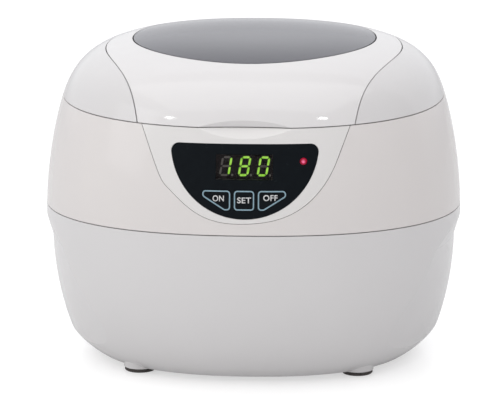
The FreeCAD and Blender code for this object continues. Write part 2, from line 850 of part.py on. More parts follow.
key_parts = {}
for name, side in keys:
    cap = common(name + "_cap", key_block(name + "_stem", side, 0, far_front, size("key_back")), film_outer)
    flange = key_block(name + "_flange", side, size("key_flange"),
                       size("key_back") + size("key_flange_thick"), size("key_back"))
    key_parts[name] = fuse(name, cap, flange)

switches = []
plungers = []
for name, side in keys:
    x = f"{side} * switch_pitch"
    switch = block(name + "_switch_case", (x + " - switch_size / 2", "-board_front - switch_thick",
                                           "key_z - switch_size / 2"),
                   ("switch_size", "switch_thick", "switch_size"))
    bore = rod(name + "_switch_bore", "plunger_round + plunger_play", "plunger_sink + key_travel + 0.6",
               (x, "-board_front - switch_thick", "key_z"), "y")
    switches.append(cut(name + "_switch", switch, bore))
    plungers.append(rod(name.replace("key", "plunger"), "plunger_round",
                        "key_back - board_front - switch_thick + plunger_sink",
                        (x, "-key_back", "key_z"), "y"))
tact_switches = group("tact_switches", *switches)

# ---------------------------------------------------------------- control board, display and lamp

board_blank = block("board_blank", ("-board_half_width", "-board_front", "board_bottom"),
                    ("2 * board_half_width", "board_thick", "board_top - board_bottom"))
board_holes = [rod(f"board_hole_{k}", "small_screw_round + screw_play", "3 * board_thick",
                   (x, "-board_front - board_thick", z), "y") for k, (x, z) in enumerate(board_spots)]
control_board = cut("control_board", board_blank, group("board_holes", *board_holes))


def small_screw(label, at):
    # A small screw pointing to the front, its head on the back of the board.
    x, z = at
    shank = rod(label + "_shank", "small_screw_round", "small_screw_length - 0.5",
                (x, "-board_front - small_screw_length + board_thick + 0.5", z), "y")
    head = rod(label + "_head", "small_head_round", "small_head_thick",
               (x, "-board_front + board_thick", z), "y")
    return fuse(label, shank, head)


board_screws = group("control_board_screws",
                     *[small_screw(f"board_screw_{k}", spot) for k, spot in enumerate(board_spots)])

led_display = block("led_display", ("-display_block_x", "-display_front",
                                    "display_z - display_block_half_height"),
                    ("2 * display_block_x", "display_front - board_front",
                     "2 * display_block_half_height"))

half_w = (size("digit_width") - size("stroke")) / 2
half_h = (size("digit_height") - size("stroke")) / 2
BARS = {"a": (0, half_h, "flat"), "g": (0, 0, "flat"), "d": (0, -half_h, "flat"),
        "b": (half_w, half_h / 2, "up"), "c": (half_w, -half_h / 2, "up"),
        "e": (-half_w, -half_h / 2, "up"), "f": (-half_w, half_h / 2, "up")}
LIT = {0: "bc", 1: "abcdefg", 2: "abcdef"}


def bar_tile(digit, bar):
    # One six-sided bar of a digit, leaned over with the digit.
    x, z, lie = BARS[bar]
    reach = (half_w if lie == "flat" else half_h / 2) - size("stroke_gap")
    thin = size("stroke") / 2
    spots = [(-reach, 0), (-reach + thin, thin), (reach - thin, thin), (reach, 0),
             (reach - thin, -thin), (-reach + thin, -thin)]
    if lie == "up":
        spots = [(b, a) for a, b in spots]
    lean = math.tan(math.radians(size("digit_slant")))
    middle = (digit - 1) * size("digit_pitch")
    tile = [V(middle + x + a + lean * (z + b), -size("display_front"), size("display_z") + z + b)
            for a, b in spots]
    face = Part.Face(Part.makePolygon([*tile, tile[0]]))
    return face.extrude(V(0, -size("tile_thick"), 0))


lit = [bar_tile(digit, bar) for digit in LIT for bar in LIT[digit]]
dark = [bar_tile(digit, bar) for digit in LIT for bar in BARS if bar not in LIT[digit]]
for digit in LIT:
    point = V((digit - 1) * size("digit_pitch") + size("digit_width") / 2 + size("point_gap"),
              -size("display_front"), size("display_z") - half_h)
    dark.append(Part.makeCylinder(size("point_round"), size("tile_thick"), point, V(0, -1, 0)))
lit_segments = fixed("lit_segments", Part.makeCompound(lit))
unlit_segments = fixed("unlit_segments", Part.makeCompound(dark))

lamp_stem = rod("lamp_stem", "lamp_round", "lamp_tip - lamp_round - board_front",
                ("lamp_x", "-lamp_tip + lamp_round", "lamp_z"), "y")
lamp_dome = add("Part::Sphere", "lamp_dome", ("lamp_x", "-lamp_tip + lamp_round", "lamp_z"),
                Radius="lamp_round")
lamp_rim = rod("lamp_rim", "lamp_round + 0.4", "1", ("lamp_x", "-board_front - 1", "lamp_z"), "y")
indicator_lamp = fuse("indicator_lamp", lamp_stem, lamp_dome, lamp_rim)

# ---------------------------------------------------------------- tank and basket

tank_top = size("deck_top") + size("gasket_thick")
tank_floor = tank_top + sheet_metal - size("tank_depth")
bottom_round = size("tank_bottom_round")
flange_room = size("flange_width")
tank_outer = rounded_block("tank_outer", tank_x + sheet_metal, tank_y + sheet_metal,
                           tank_floor - sheet_metal, tank_top, corner + sheet_metal,
                           bottom_round + sheet_metal)
tank_inner = rounded_block("tank_inner", tank_x, tank_y, tank_floor, tank_top + size("past"), corner,
                           bottom_round)
tank_flange = rounded_block("tank_flange", tank_x + flange_room, tank_y + flange_room, tank_top,
                            tank_top + sheet_metal, corner + flange_room)
tank = cut("tank", fuse("tank_blank", tank_outer, tank_flange), tank_inner)
gasket_outer = rounded_block("gasket_outer", tank_x + flange_room - 0.5, tank_y + flange_room - 0.5,
                             size("deck_top"), tank_top, corner + flange_room - 0.5)
gasket_inner = rounded_block("gasket_inner", tank_x + deck_hole_room, tank_y + deck_hole_room,
                             size("deck_top") - 1, tank_top + 1, corner + deck_hole_room)
tank_gasket = cut("tank_gasket", gasket_outer, gasket_inner)

rim_low = tank_top + sheet_metal
basket_inset = size("basket_inset")
basket_wall = size("basket_wall")
basket_floor = rim_low - size("basket_depth")
basket_round = size("basket_bottom_round")
basket_out = rounded_block("basket_out", tank_x - basket_inset, tank_y - basket_inset, basket_floor, rim_low,
                           corner - basket_inset, basket_round)
basket_in = rounded_block("basket_in", tank_x - basket_inset - basket_wall,
                          tank_y - basket_inset - basket_wall, basket_floor + basket_wall,
                          rim_low + size("past"), corner - basket_inset - basket_wall,
                          basket_round - basket_wall)
basket_lip = rounded_block("basket_lip", tank_x - basket_inset + size("basket_rim"),
                           tank_y - basket_inset + size("basket_rim"), rim_low, rim_low + basket_wall,
                           corner - basket_inset + size("basket_rim"))
floor_slots = []
side_slots = []
slot_count = int(size("slot_count"))
for k in range(slot_count):
    x = f"({k} - (slot_count - 1) / 2) * slot_pitch - slot_width / 2"
    floor_slots.append(block(f"floor_slot_{k}", (x, "-tank_width / 4", "deck_top - basket_depth - past / 2"),
                             ("slot_width", "tank_width / 2", "past")))
    side_slots.append(block(f"side_slot_{k}", (x, "-tank_width",
                                               "deck_top - basket_depth / 2 - side_slot_drop"),
                            ("slot_width", "2 * tank_width", "basket_depth / 2")))
basket = cut("basket", fuse("basket_blank", basket_out, basket_lip), basket_in,
             group("floor_slots", *floor_slots), group("side_slots", *side_slots))

# ---------------------------------------------------------------- transducer under the tank

horn_top = "deck_top + gasket_thick - tank_depth"
horn_low = horn_top + " - horn_length"
transducer_horn = turned("transducer_horn", [
    ("bolt_round", "0"), ("horn_low_round", "0"), ("horn_low_round", "horn_length / 4"),
    ("horn_top_round", "horn_length * 3 / 4"), ("horn_top_round", "horn_length"),
    ("0", "horn_length"), ("0", "bolt_reach"), ("bolt_round", "bolt_reach")], ("0", "0", horn_low))


def washer(label, outer, hole, thick, level):
    return turned(label, [(hole, "0"), (outer, "0"), (outer, thick), (hole, thick)], ("0", "0", level))


electrodes = []
rings = []
level = horn_low
for number in range(2):
    level += " - electrode_thick"
    tab = block(f"electrode_tab_{number}", ("-electrode_tab_width / 2", "electrode_round - 2", level),
                ("electrode_tab_width", "electrode_tab + 2", "electrode_thick"))
    plate = washer(f"electrode_plate_{number}", "electrode_round", "ring_hole", "electrode_thick", level)
    electrodes.append(fuse(f"electrode_{number}", plate, tab))
    level += " - ring_thick"
    rings.append(washer(f"piezo_ring_{number}", "ring_round", "ring_hole", "ring_thick", level))
transducer_electrodes = group("transducer_electrodes", *electrodes)
piezo_rings = group("piezo_rings", *rings)
level += " - back_mass_length"
back_mass = washer("back_mass", "back_mass_round", "bolt_round + bolt_play", "back_mass_length", level)
bolt_head = level + " - bolt_head_length"
transducer_bolt = turned("transducer_bolt", [
    ("0", "0"), ("bolt_head_round", "0"), ("bolt_head_round", "bolt_head_length"),
    ("bolt_round", "bolt_head_length"),
    ("bolt_round", "bolt_head_length + back_mass_length + 2 * ring_thick + 2 * electrode_thick + bolt_reach"),
    ("0", "bolt_head_length + back_mass_length + 2 * ring_thick + 2 * electrode_thick + bolt_reach")],
    ("0", "0", bolt_head))

# ---------------------------------------------------------------- power board in the base

board_top = "power_bottom + board_thick"
power_blank = block("power_blank", ("power_x - power_half_x", "-power_half_y", "power_bottom"),
                    ("2 * power_half_x", "2 * power_half_y", "board_thick"))
power_spots = [(f"power_x {sx} power_screw_x", f"0 {sy} power_screw_y") for sx in "-+" for sy in "-+"]
power_holes = [rod(f"power_hole_{k}", "small_screw_round + screw_play", "3 * board_thick",
                   (*spot, "power_bottom - board_thick")) for k, spot in enumerate(power_spots)]
power_board = cut("power_board", power_blank, group("power_holes", *power_holes))
power_screws = []
for k, spot in enumerate(power_spots):
    shank = rod(f"power_shank_{k}", "small_screw_round", "small_screw_length - 1.5",
                (*spot, board_top + " - small_screw_length + 1.5"))
    head = rod(f"power_head_{k}", "small_head_round", "small_head_thick", (*spot, board_top))
    power_screws.append(fuse(f"power_screw_{k}", shank, head))
power_board_screws = group("power_board_screws", *power_screws)

core_low = ("transformer_at_x - core_x / 2", "transformer_at_y - core_y / 2", board_top)
core_block = block("core_block", core_low, ("core_x", "core_y / 2", "core_height"))
core_slots = [block(f"core_window_{k}", (x, "transformer_at_y - core_y", board_top + " + core_yoke"),
                    ("core_x / 2 - core_limb / 2 - core_limb", "2 * core_y", "core_height - 2 * core_yoke"))
              for k, x in enumerate(["transformer_at_x - core_x / 2 + core_limb",
                                     "transformer_at_x + core_limb / 2"])]
transformer_core = cut("transformer_core", core_block, group("core_windows", *core_slots))
coil_block = block("coil_block", ("transformer_at_x - core_x / 2 + core_limb + part_gap",
                                  "transformer_at_y - core_y / 2 - coil_overhang",
                                  board_top + " + core_yoke + part_gap"),
                   ("core_x - 2 * core_limb - 2 * part_gap", "core_y / 2 + 2 * coil_overhang",
                    "core_height - 2 * core_yoke - 2 * part_gap"))
coil_hole = block("coil_hole", ("transformer_at_x - core_limb / 2 - part_gap",
                                "transformer_at_y - core_y / 2 - part_gap", board_top),
                  ("core_limb + 2 * part_gap", "core_y / 2 + 2 * part_gap", "core_height"))
transformer_coil = cut("transformer_coil", coil_block, coil_hole)

choke = doc.addObject("Part::Torus", "choke")
choke.setExpression("Radius1", bound("choke_ring"))
choke.setExpression("Radius2", bound("choke_wire"))
place(choke, ("choke_at_x", "choke_at_y", board_top + " + choke_wire"))

capacitor = turned("filter_capacitor", [
    ("0", "0"), ("capacitor_round", "0"), ("capacitor_round", "capacitor_height - capacitor_bevel"),
    ("capacitor_round - capacitor_bevel", "capacitor_height"), ("0", "capacitor_height")],
    ("capacitor_at_x", "capacitor_at_y", board_top))

fuse_holder = rod("mains_fuse", "fuse_round", "fuse_length",
                  ("fuse_at_x - fuse_length / 2", "fuse_at_y", board_top + " + fuse_round"), "x")

sink_back = block("sink_back", ("sink_at_x", "sink_at_y", board_top),
                  ("sink_length", "sink_base", "sink_height"))
sink_fins = [block(f"sink_fin_{k}", (f"sink_at_x + {k} * (sink_length - sink_fin_thick) / (sink_fins - 1)",
                                     "sink_at_y - sink_fin_depth + sink_base / 2", board_top),
                   ("sink_fin_thick", "sink_fin_depth", "sink_height"))
             for k in range(int(size("sink_fins")))]
heat_sink = fuse("heat_sink", sink_back, *sink_fins)
transistors = [block(f"transistor_{k}", (f"sink_at_x + {k} * transistor_pitch + transistor_start",
                                         "sink_at_y + sink_base", board_top + " + transistor_lift"),
                     ("transistor_width", "transistor_thick", "transistor_height")) for k in range(2)]
legs = [block(f"transistor_leg_{k}_{n}", (f"sink_at_x + {k} * transistor_pitch + transistor_start"
                                          f" + leg_start + {n} * leg_pitch",
                                          "sink_at_y + sink_base + transistor_thick / 2", board_top),
              ("leg_width", "leg_thick", "transistor_lift")) for k in range(2) for n in range(3)]
power_transistors = group("power_transistors",
                          *[fuse(f"transistor_with_legs_{k}", transistors[k], *legs[3 * k:3 * k + 3])
                            for k in range(2)])

# ---------------------------------------------------------------- mains inlet

inlet_case = block("inlet_case", ("-inlet_half_x", "inlet_back", "inlet_z - inlet_half_z"),
                   ("2 * inlet_half_x", "inlet_front - inlet_back", "2 * inlet_half_z"))
socket_middle = block("socket_middle", ("-socket_half_x + socket_half_z", "inlet_front - socket_depth",
                                        "inlet_z - socket_half_z"),
                      ("2 * socket_half_x - 2 * socket_half_z", "socket_depth + past", "2 * socket_half_z"))
socket_ends = [rod("socket_end_" + name, "socket_half_z", "socket_depth + past",
                   (x, "inlet_front - socket_depth", "inlet_z"), "y")
               for name, x in (("left", "-socket_half_x + socket_half_z"),
                               ("right", "socket_half_x - socket_half_z"))]
inlet_bores = [rod(f"inlet_bore_{k}", "inlet_pin_round", "inlet_front - inlet_back",
                   (x, "inlet_back - 1", "inlet_z"), "y")
               for k, x in enumerate(["-inlet_pin_x", "inlet_pin_x"])]
socket = fuse("socket", socket_middle, *socket_ends)
mains_inlet = cut("mains_inlet", inlet_case, socket, group("inlet_bores", *inlet_bores))
inlet_pins = group("inlet_pins", *[
    rod(f"inlet_pin_{k}", "inlet_pin_round", "inlet_pin_front - inlet_back + inlet_tail",
        (x, "inlet_back - inlet_tail", "inlet_z"), "y")
    for k, x in enumerate(["-inlet_pin_x", "inlet_pin_x"])])

# ---------------------------------------------------------------- feet and housing screws

foot_names = {"left_front": "front_left_foot", "right_front": "front_right_foot",
              "right_back": "back_right_foot", "left_back": "back_left_foot"}
feet = []
housing_screws = []
for name, sx, sy in corners_of_four:
    at = (sx + "post_x", sy + "post_y")
    feet.append(turned(foot_names[name], [
        ("0", "0"), ("foot_round - foot_chamfer", "0"), ("foot_round", "foot_chamfer"),
        ("foot_round", "foot_thick"), ("spigot_round", "foot_thick"),
        ("spigot_round", "foot_thick + spigot_length"), ("0", "foot_thick + spigot_length")],
        (*at, "0")))
    housing_screws.append(turned("housing_screw_" + name, [
        ("0", "0"), ("screw_head_round", "0"), ("screw_head_round", "screw_head_thick"),
        ("screw_round", "screw_head_thick"), ("screw_round", "screw_head_thick + screw_length"),
        ("0", "screw_head_thick + screw_length")], (*at, "well_top - screw_head_thick")))
housing_screw_group = group("housing_screws", *housing_screws)

# ---------------------------------------------------------------- lid

lid_wall = common("lid_wall", housing_wall, lid_zone)


def saddle_wire(grow):
    # The saddle in plan: waisted at the front and back, full in the middle.
    quarter = [V(size("saddle_end_x"), size("saddle_end_y"), 0),
               V(size("saddle_shoulder_x"), size("saddle_shoulder_y"), 0),
               V(size("saddle_quarter_x"), size("saddle_quarter_y"), 0)]
    right = [V(spot.x, -spot.y, 0) for spot in quarter] + [V(size("saddle_middle_x"), 0, 0)]
    right += [V(spot.x, spot.y, 0) for spot in reversed(quarter)]
    right = [spot + V(grow, 0, 0) for spot in right]
    curve = Part.BSplineCurve()
    curve.interpolate(Points=right)
    other = Part.BSplineCurve()
    other.interpolate(Points=[V(-spot.x, spot.y, 0) for spot in right])
    reach = size("beyond")
    first, last = right[0], right[-1]
    ends = [Part.makePolygon([V(-first.x, first.y, 0), V(-first.x, -reach, 0), V(first.x, -reach, 0), first]),
            Part.makePolygon([V(-last.x, last.y, 0), V(-last.x, reach, 0), V(last.x, reach, 0), last])]
    return Part.Wire(Part.__sortEdges__([curve.toShape(), other.toShape(),
                                         *[edge for end in ends for edge in end.Edges]]))


def upright_prism(label, wire, low, high):
    face = Part.Face(wire)
    face.translate(V(0, 0, low))
    return fixed(label, face.extrude(V(0, 0, high - low)))


low_lid = size("lid_seam") - 2 * size("past")
high_lid = size("crown_top") + 2 * size("past")
window_low = size("lid_seam") + size("window_zone")
crown_low = window_low - size("past") / 2
saddle_prism = upright_prism("saddle_prism", saddle_wire(-size("groove") / 2), low_lid, high_lid)
saddle_room = upright_prism("saddle_room", saddle_wire(size("groove") / 2), low_lid, high_lid)


def window_outline_prism(label, spread, low):
    # An upright prism of the window's ellipse, spread outwards by a distance.
    outline = oval_wire(size("window_x") + spread, size("window_y") + spread, low, power=2, join=CUTTER_JOIN)
    face = Part.Face(outline)
    face.translate(V(0, size("window_back"), 0))
    return fixed(label, face.extrude(V(0, 0, high_lid - low)))


window_room = window_outline_prism("window_room", size("window_gap"), window_low)
window_prism = window_outline_prism("window_prism", 0, window_low)
seal_prism = window_outline_prism("seal_prism", size("window_gap") - size("seal_fit"), window_low)
seal_inner = window_outline_prism("seal_inner", size("seal_fit"), window_low)
ledge_outer = window_outline_prism("ledge_outer", size("ledge_width") / 2, window_low)
ledge_inner = window_outline_prism("ledge_inner", -size("ledge_width"), low_lid)
under_window = size("window_thick")
gasket_low = under_window + size("window_gasket_thick")
window_under = form("window_under", under_window, crown_low)
ledge_top = form("ledge_top", gasket_low, crown_low - size("ledge_thick"))
ledge_under = form("ledge_under", gasket_low + size("ledge_thick"), crown_low - 2 * size("ledge_thick"))
crown_form = form("crown_form", 0, crown_low)
seal_dome = form("seal_dome", size("seal_drop"), crown_low)

lid_window = cut("lid_window", common("window_dome", crown_form, window_prism), window_under)
window_space = cut("window_space", seal_inner, window_under)
seal_blank = common("seal_blank", seal_dome, seal_prism)
window_gasket = carve("window_gasket", seal_blank, window_space, ledge_top, ledge_inner)
ledge = cut("ledge", common("ledge_dome", middle_form, ledge_outer), ledge_under)
window_seat = cut("window_seat", window_room, ledge_top)


def lid_boss(label, x, y):
    post = rod(label + "_post", "lid_boss_round", "crown_top - lid_seam", (x, y, "lid_seam - past"))
    return common(label, post, liner_top_zone, middle_form)


liner_top_zone = above_lid_seam("liner_top_zone", "seam_gap / 2 + liner_thick")
front_spots = [(sx + "lid_boss_front_x", sy + "lid_boss_front_y") for sx in ("-", "") for sy in ("-", "")]
side_spots = [(sx + "lid_boss_x", sy + "lid_boss_y") for sx in ("-", "") for sy in ("-", "")]
saddle_bosses = [lid_boss(f"saddle_boss_{k}", x, y) for k, (x, y) in enumerate(front_spots)]
shoulder_bosses = [lid_boss(f"shoulder_boss_{k}", x, y) for k, (x, y) in enumerate(side_spots)]


def boss_level(y):
    # Height of the liner's underside at a lid boss.
    return f"lid_seam + seam_gap / 2 + ({y}) * tan(lid_tilt * 1deg)"


lid_pilots = [rod(f"lid_pilot_{k}", "small_screw_round", "lid_screw_length", (x, y, boss_level(y)))
              for k, (x, y) in enumerate(front_spots + side_spots)]
lid_pilot_group = group("lid_pilots", *lid_pilots)

knuckle_eye = rod("knuckle_eye", "hinge_round", "2 * knuckle_x", ("-knuckle_x", "hinge_y", hinge_level), "x")
knuckle_web = block("knuckle_web", ("-knuckle_x", "hinge_web_y", hinge_level + " + hinge_lift"),
                    ("2 * knuckle_x", "hinge_y - hinge_web_y", "hinge_round - hinge_lift"))
knuckle_bore = rod("knuckle_bore", "pin_round + pin_play", "4 * knuckle_x",
                   ("-2 * knuckle_x", "hinge_y", hinge_level), "x")
lid_pad_block = fixed("lid_pad_block", Part.makeBox(
    2 * size("notch_pad_x"), size("notch_pad") + wall, size("notch_rise") + 2 * size("notch_pad_rise"),
    V(-size("notch_pad_x"), -seam_front_y + wall / 2, seam_front_z - size("notch_pad_rise"))))
lid_pad = common("lid_pad", lid_pad_block, lid_zone, inner_form)

saddle_blank = common("saddle_blank", lid_wall, saddle_prism)
saddle_wall = carve("saddle_wall", saddle_blank, window_room)
ledge_ring = carve("ledge_ring", ledge, window_seat, ledge_inner)
saddle_raw = weld("saddle_raw", saddle_wall, ledge_ring, lid_pad, *saddle_bosses, knuckle_eye, knuckle_web)
lid_saddle = carve("lid_saddle", saddle_raw, finger_notch, lid_pilot_group, knuckle_bore)

shoulder_wall = cut("shoulder_wall", lid_wall, saddle_room)
left_half = block("left_half", ("-beyond", "-beyond", "0"), ("beyond", "2 * beyond", "2 * beyond"))
right_half = block("right_half", ("0", "-beyond", "0"), ("beyond", "2 * beyond", "2 * beyond"))
shoulder_raw = fuse("shoulder_raw", shoulder_wall, *shoulder_bosses)
left_shoulder = cut("left_lid_shoulder", common("left_shoulder_raw", shoulder_raw, left_half),
                    lid_pilot_group)
right_shoulder = cut("right_lid_shoulder", common("right_shoulder_raw", shoulder_raw, right_half),
                     lid_pilot_group)

liner_low = size("lid_seam") + size("seam_gap") / 2
liner_plate = form("liner_plate", wall + size("liner_gap"), liner_low, liner_low + size("liner_thick"))
liner_open = plan_prism("liner_open", size("liner_open_x"), size("liner_open_y"), low_lid, high_lid)
liner_relief = fixed("liner_relief", Part.makeBox(
    2 * size("notch_pad_x") + 2 * size("seam_gap"), 4 * size("past"), 4 * size("past"),
    V(-size("notch_pad_x") - size("seam_gap"),
      -seam_front_y + wall + size("notch_pad") + 3 * size("seam_gap") - 4 * size("past"),
      seam_front_z - 2 * size("past"))))
liner_holes = [rod(f"liner_hole_{k}", "small_screw_round + screw_play", "2 * past", (x, y, "lid_seam - past"))
               for k, (x, y) in enumerate(front_spots + side_spots)]
lid_liner = carve("lid_liner", liner_plate, liner_open, liner_relief, *liner_holes)

lid_screw_list = []
for k, (x, y) in enumerate(front_spots + side_spots):
    shank = rod(f"lid_shank_{k}", "small_screw_round", "lid_screw_length - 1", (x, y, boss_level(y)))
    head = rod(f"lid_head_{k}", "small_head_round", "small_head_thick",
               (x, y, boss_level(y) + " - small_head_thick - small_head_round * tan(lid_tilt * 1deg)"))
    neck = rod(f"lid_neck_{k}", "small_screw_round", "small_head_thick",
               (x, y, boss_level(y) + " - small_head_thick"))
    lid_screw_list.append(fuse(f"lid_screw_{k}", shank, neck, head))
lid_screws = group("lid_screws", *lid_screw_list)

hinge_pin = rod("hinge_pin", "pin_round", "2 * ear_x", ("-ear_x", "hinge_y", hinge_level), "x")

# ---------------------------------------------------------------- leads inside the housing

def lead(points, radius):
    # A round lead: straight runs joined by tangent arcs, each as large as its two runs allow.
    edges = []
    last = points[0]
    for before, middle, after in zip(points, points[1:], points[2:]):
        back = (before - middle).normalize()
        ahead = (after - middle).normalize()
        turn = math.pi - back.getAngle(ahead)
        room = 0.45 * min(before.distanceToPoint(middle), after.distanceToPoint(middle))
        start = middle + back * room
        end = middle + ahead * room
        bend = room / math.tan(turn / 2)
        centre = middle + (back + ahead).normalize() * math.hypot(bend, room)
        top = centre + (middle - centre).normalize() * bend
        edges.append(Part.LineSegment(last, start).toShape())
        edges.append(Part.Arc(start, top, end).toShape())
        last = end
    edges.append(Part.LineSegment(last, points[-1]).toShape())
    path = Part.Wire(edges)
    ahead = (points[1] - points[0]).normalize()
    circle = Part.Wire(Part.Circle(points[0], ahead, radius).toShape())
    return path.makePipeShell([circle], True, False, 2)


lead_round = size("lead_round")
deck_of_board = size("power_bottom") + size("board_thick")
inlet_tail = size("inlet_back") - size("inlet_tail")
mains = []
for side in (-1, 1):
    start = V(side * size("inlet_pin_x"), inlet_tail, size("inlet_z"))
    landing_x = size("power_x") + size("lead_landing_x") + size("lead_spacing") * side
    landing = V(landing_x, size("lead_landing_y"), deck_of_board)
    bends = [V(x + (shift if side > 0 else 0), y, z) for x, y, z, shift in LEAD_BENDS]
    mains.append(lead([start, start - V(0, size("lead_straight"), 0), *bends,
                       landing + V(0, 0, size("lead_rise")), landing], lead_round))
mains_leads = fixed("mains_leads", Part.makeCompound(mains))

# ---------------------------------------------------------------- check and export

nodes = [base_shell, upper_shell, front_bezel, control_film, display_window, *key_parts.values(), *plungers,
         tact_switches, control_board, board_screws, led_display, lit_segments, unlit_segments,
         indicator_lamp, tank, tank_gasket, basket, transducer_horn, transducer_electrodes, piezo_rings,
         back_mass, transducer_bolt, power_board, power_board_screws, transformer_core, transformer_coil,
         choke, capacitor, fuse_holder, heat_sink, power_transistors, mains_inlet, inlet_pins, *feet,
         housing_screw_group, lid_saddle, left_shoulder, right_shoulder, lid_liner, lid_window,
         window_gasket, lid_screws, hinge_pin, mains_leads]

doc.recompute()
faults = [item.Label for item in doc.Objects if "Invalid" in item.State or "Error" in item.State]
if faults:
    raise RuntimeError("failed objects: " + ", ".join(faults))
for node in nodes:
    if node.Shape.isNull() or not node.Shape.isValid() or not node.Shape.Solids:
        raise RuntimeError("bad shape: " + node.Label)

os.makedirs("parts", exist_ok=True)
for node in nodes:
    node.Shape.exportStep(f"parts/{node.Label}.step")
    print(node.Label, len(node.Shape.Solids), round(node.Shape.Volume, 1))
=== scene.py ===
import math
import bmesh
import bpy
from mathutils import Matrix, Vector


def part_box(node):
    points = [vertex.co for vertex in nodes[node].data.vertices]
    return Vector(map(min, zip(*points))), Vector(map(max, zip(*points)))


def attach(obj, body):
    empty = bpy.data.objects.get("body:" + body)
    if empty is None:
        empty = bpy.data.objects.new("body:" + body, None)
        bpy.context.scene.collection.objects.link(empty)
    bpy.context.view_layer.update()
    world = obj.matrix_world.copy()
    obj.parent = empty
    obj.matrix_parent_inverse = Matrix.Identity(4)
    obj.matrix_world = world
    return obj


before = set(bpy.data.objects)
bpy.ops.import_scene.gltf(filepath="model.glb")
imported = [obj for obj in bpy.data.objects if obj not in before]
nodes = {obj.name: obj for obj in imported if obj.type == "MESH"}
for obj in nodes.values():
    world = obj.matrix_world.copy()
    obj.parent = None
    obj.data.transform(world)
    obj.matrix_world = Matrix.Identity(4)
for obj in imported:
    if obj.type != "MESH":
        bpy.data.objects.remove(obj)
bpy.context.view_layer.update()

mm = 0.001
print("frame loaded:", len(nodes), "nodes")


class Signal:
    # one output of a material's nodes; a product with it adds a Math node
    def __init__(self, paint, socket):
        self.paint = paint
        self.socket = socket

    def __mul__(self, other):
        return self.paint.node("ShaderNodeMath", {"operation": "MULTIPLY"}, {0: self, 1: other})

    __rmul__ = __mul__


class Paint:
    # a node material with one Principled shader
    def __init__(self, name, **constants):
        self.material = bpy.data.materials.new(name)
        self.material.use_nodes = True
        self.tree = self.material.node_tree
        self.tree.nodes.clear()
        output = self.tree.nodes.new("ShaderNodeOutputMaterial")
        self.shader = self.tree.nodes.new("ShaderNodeBsdfPrincipled")
        self.tree.links.new(self.shader.outputs[0], output.inputs[0])
        for socket, value in constants.items():
            self.shader.inputs[socket.replace("_", " ")].default_value = value

    def put(self, socket, value):
        if isinstance(value, Signal):
            self.tree.links.new(value.socket, socket)
        elif hasattr(value, "__len__") and socket.type == "RGBA" and len(value) == 3:
            socket.default_value = (*value, 1)
        else:
            socket.default_value = value

    def node(self, kind, settings=None, sockets=None, out=0):
        made = self.tree.nodes.new(kind)
        for name, value in (settings or {}).items():
            setattr(made, name, value)
        for key, value in (sockets or {}).items():
            self.put(made.inputs[key], value)
        return Signal(self, made.outputs[out])

    def feed(self, **sockets):
        for name, value in sockets.items():
            self.put(self.shader.inputs[name.replace("_", " ")], value)

    def place(self):
        return self.node("ShaderNodeTexCoord", out="Object")

    def noise(self, scale, detail=2.0, rough=0.5, at=None):
        return self.node("ShaderNodeTexNoise", {}, {
            "Vector": at or self.place(), "Scale": scale, "Detail": detail, "Roughness": rough})

    def spread(self, signal, low, high, start=0.3, end=0.7):
        # low where the signal is at start, high where it is at end; most noise is from 0.3 to 0.7
        return self.node("ShaderNodeMapRange", {}, {
            "Value": signal, "From Min": start, "From Max": end, "To Min": low, "To Max": high})

    def mix(self, factor, first, second):
        # inputs 6 and 7 and output 2 are the node's colours
        return self.node("ShaderNodeMix", {"data_type": "RGBA"}, {
            0: factor, 6: first, 7: second}, out=2)

    def bump(self, height, strength, distance=0.0001):
        return self.node("ShaderNodeBump", {}, {
            "Height": height, "Strength": strength, "Distance": distance})


def plasticPaint(name, look):
    # moulded white plastic: a faint cloud in its colour, a polish that varies, a fine orange peel
    paint = Paint(name, IOR=1.5, Specular_IOR_Level=look["gloss"])
    cloud = paint.noise(look["cloudScale"], 3)
    tone = paint.mix(paint.spread(cloud, 0, 1), look["pale"], look["deep"])
    haze = paint.noise(look["hazeScale"], 2)
    paint.feed(Base_Color=tone, Roughness=paint.spread(haze, look["smooth"], look["rough"]),
               Normal=paint.bump(paint.noise(look["peelScale"], 1), look["peel"]))
    return paint.material


whiteGloss = plasticPaint("whiteGloss", {
    "pale": (0.79, 0.757, 0.75), "deep": (0.772, 0.74, 0.735), "gloss": 0.5, "cloudScale": 14,
    "hazeScale": 40, "smooth": 0.06, "rough": 0.1, "peelScale": 900, "peel": 0.02})
bezelGloss = plasticPaint("bezelGloss", {
    "pale": (0.81, 0.795, 0.79), "deep": (0.795, 0.78, 0.776), "gloss": 0.5, "cloudScale": 14,
    "hazeScale": 40, "smooth": 0.06, "rough": 0.1, "peelScale": 900, "peel": 0.02})
lidGloss = plasticPaint("lidGloss", {
    "pale": (0.8, 0.785, 0.792), "deep": (0.785, 0.77, 0.778), "gloss": 0.5, "cloudScale": 12,
    "hazeScale": 35, "smooth": 0.05, "rough": 0.08, "peelScale": 900, "peel": 0.02})
# the lid's white plastic in a darker tone: painted shade on the shoulders' upward faces, which
# catch the light from above
shoulderGlossPaintedShade = plasticPaint("shoulderGlossPaintedShade", {
    "pale": (0.74, 0.727, 0.733), "deep": (0.725, 0.712, 0.72), "gloss": 0.5, "cloudScale": 12,
    "hazeScale": 35, "smooth": 0.05, "rough": 0.08, "peelScale": 900, "peel": 0.02})
baseGloss = plasticPaint("baseGloss", {
    "pale": (0.76, 0.747, 0.755), "deep": (0.74, 0.728, 0.736), "gloss": 0.5, "cloudScale": 12,
    "hazeScale": 30, "smooth": 0.12, "rough": 0.2, "peelScale": 900, "peel": 0.04})
whiteMatte = plasticPaint("whiteMatte", {
    "pale": (0.72, 0.72, 0.71), "deep": (0.66, 0.66, 0.65), "gloss": 0.35, "cloudScale": 20,
    "hazeScale": 60, "smooth": 0.4, "rough": 0.55, "peelScale": 1600, "peel": 0.2})


